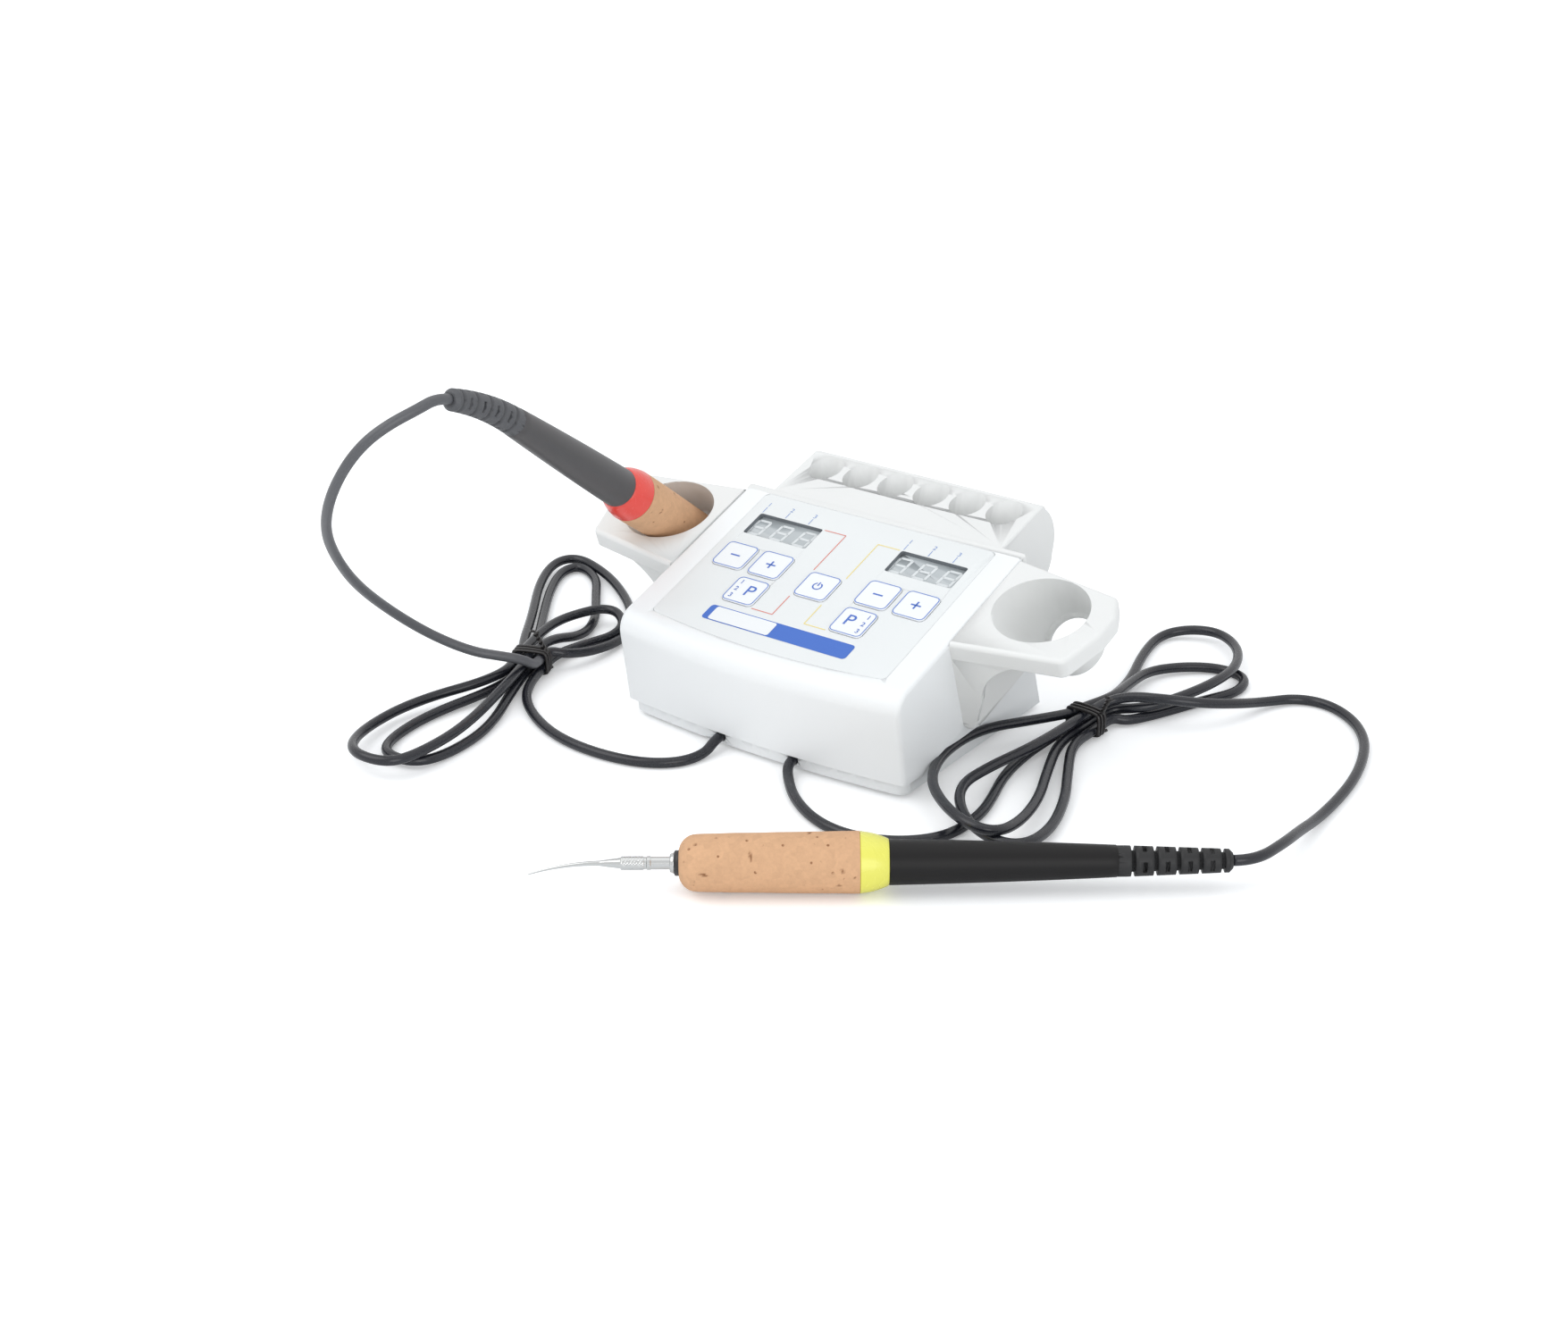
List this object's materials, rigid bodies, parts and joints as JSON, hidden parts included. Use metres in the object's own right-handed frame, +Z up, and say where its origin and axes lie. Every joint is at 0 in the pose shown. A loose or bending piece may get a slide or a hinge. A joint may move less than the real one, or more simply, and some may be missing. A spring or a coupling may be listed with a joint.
{
  "type": "electric wax spatula",
  "caption": "Bench station with a tilted keypad, displays, tip rack and side holders, and two corded cork handpieces with plug-in heated spatula tips.",
  "frame": {"origin": "on the bench surface, under the middle of the station", "axes": "+X to the right along the keypad, +Y to the rear, +Z up from the bench"},
  "size_m": [0.3104, 0.2593, 0.1285],
  "materials": {
    "housing_white": "satin white housing",
    "moulding_grey": "fine matt light grey",
    "foil": "printed membrane foil",
    "key": "printed membrane key",
    "display": "display face",
    "board": "solder mask",
    "black_plastic": "black moulded parts",
    "component_dark": "moulded package",
    "component_metal": "can",
    "connector": "ivory header",
    "steel": "plated screw",
    "rubber": "matt black",
    "cork": "agglomerated cork",
    "ring_red": "glossy red",
    "ring_yellow": "glossy yellow",
    "handle": "dark satin",
    "chrome": "polished",
    "cord": "semi-gloss black",
    "tie": "coated wire"
  },
  "bodies": {
    "station": {"upper_housing": "housing_white", "lower_housing": "housing_white", "tip_rack": "moulding_grey", "keypad_foil": "foil", "display_left": "display", "display_right": "display", "holder_left": "moulding_grey", "holder_right": "moulding_grey", "main_board": "board", "tact_switches": "component_dark", "control_chip": "component_dark", "smoothing_capacitor": "component_metal", "power_transistors": "component_dark", "cord_connectors": "connector", "power_socket": "black_plastic", "cord_clamp_left": "rubber", "cord_clamp_right": "rubber", "wires_left": "cord", "wires_right": "cord", "board_screws": "steel", "housing_screws": "steel", "holder_screws": "steel", "rack_screws": "steel", "rubber_feet": "rubber", "cord_left_station": "cord", "cord_right_station": "cord", "hank_left": "cord", "hank_right": "cord", "cord_left_handpiece": "cord", "cord_right_handpiece": "cord", "tie_left": "tie", "tie_right": "tie"},
    "key_left_minus_body": {"key_left_minus": "key"},
    "key_left_plus_body": {"key_left_plus": "key"},
    "key_left_program_body": {"key_left_program": "key"},
    "key_power_body": {"key_power": "key"},
    "key_right_minus_body": {"key_right_minus": "key"},
    "key_right_plus_body": {"key_right_plus": "key"},
    "key_right_program_body": {"key_right_program": "key"},
    "red_handpiece": {"cork_grip_red": "cork", "colour_ring_red": "ring_red", "handle_red": "handle", "bend_boot_red": "rubber", "core_tube_red": "steel", "nose_ring_red": "black_plastic", "tip_socket_red": "chrome"},
    "red_tip": {"tip_red": "chrome"},
    "yellow_handpiece": {"cork_grip_yellow": "cork", "colour_ring_yellow": "ring_yellow", "handle_yellow": "handle", "bend_boot_yellow": "rubber", "core_tube_yellow": "steel", "nose_ring_yellow": "black_plastic", "tip_socket_yellow": "chrome"},
    "yellow_tip": {"tip_yellow": "chrome"}
  },
  "joints": [
    {"name": "key_left_minus_press", "type": "slide", "parent": "station", "child": "key_left_minus_body", "axis": [0, 0.2995, -0.9541], "range_m": [0, 0.00045], "stiffness_N_per_m": 1500},
    {"name": "key_left_plus_press", "type": "slide", "parent": "station", "child": "key_left_plus_body", "axis": [0, 0.2995, -0.9541], "range_m": [0, 0.00045], "stiffness_N_per_m": 1500},
    {"name": "key_left_program_press", "type": "slide", "parent": "station", "child": "key_left_program_body", "axis": [0, 0.2995, -0.9541], "range_m": [0, 0.00045], "stiffness_N_per_m": 1500},
    {"name": "key_power_press", "type": "slide", "parent": "station", "child": "key_power_body", "axis": [0, 0.2995, -0.9541], "range_m": [0, 0.00045], "stiffness_N_per_m": 1500},
    {"name": "key_right_minus_press", "type": "slide", "parent": "station", "child": "key_right_minus_body", "axis": [0, 0.2995, -0.9541], "range_m": [0, 0.00045], "stiffness_N_per_m": 1500},
    {"name": "key_right_plus_press", "type": "slide", "parent": "station", "child": "key_right_plus_body", "axis": [0, 0.2995, -0.9541], "range_m": [0, 0.00045], "stiffness_N_per_m": 1500},
    {"name": "key_right_program_press", "type": "slide", "parent": "station", "child": "key_right_program_body", "axis": [0, 0.2995, -0.9541], "range_m": [0, 0.00045], "stiffness_N_per_m": 1500},
    {"name": "red_handpiece_lift_out", "type": "slide", "parent": "station", "child": "red_handpiece", "axis": [0.0561, -0.8019, 0.5948], "range_m": [0, 0.06], "deforming": ["cord_left_handpiece"]},
    {"name": "yellow_handpiece_lift", "type": "slide", "parent": "station", "child": "yellow_handpiece", "axis": [0, 0, 1], "range_m": [0, 0.05], "deforming": ["cord_right_handpiece"]},
    {"name": "red_tip_pull_out", "type": "slide", "parent": "red_handpiece", "child": "red_tip", "axis": [-0.0561, 0.8019, -0.5948], "range_m": [0, 0.012]},
    {"name": "yellow_tip_pull_out", "type": "slide", "parent": "yellow_handpiece", "child": "yellow_tip", "axis": [-0.81, -0.5864, 0], "range_m": [0, 0.012]}
  ]
}
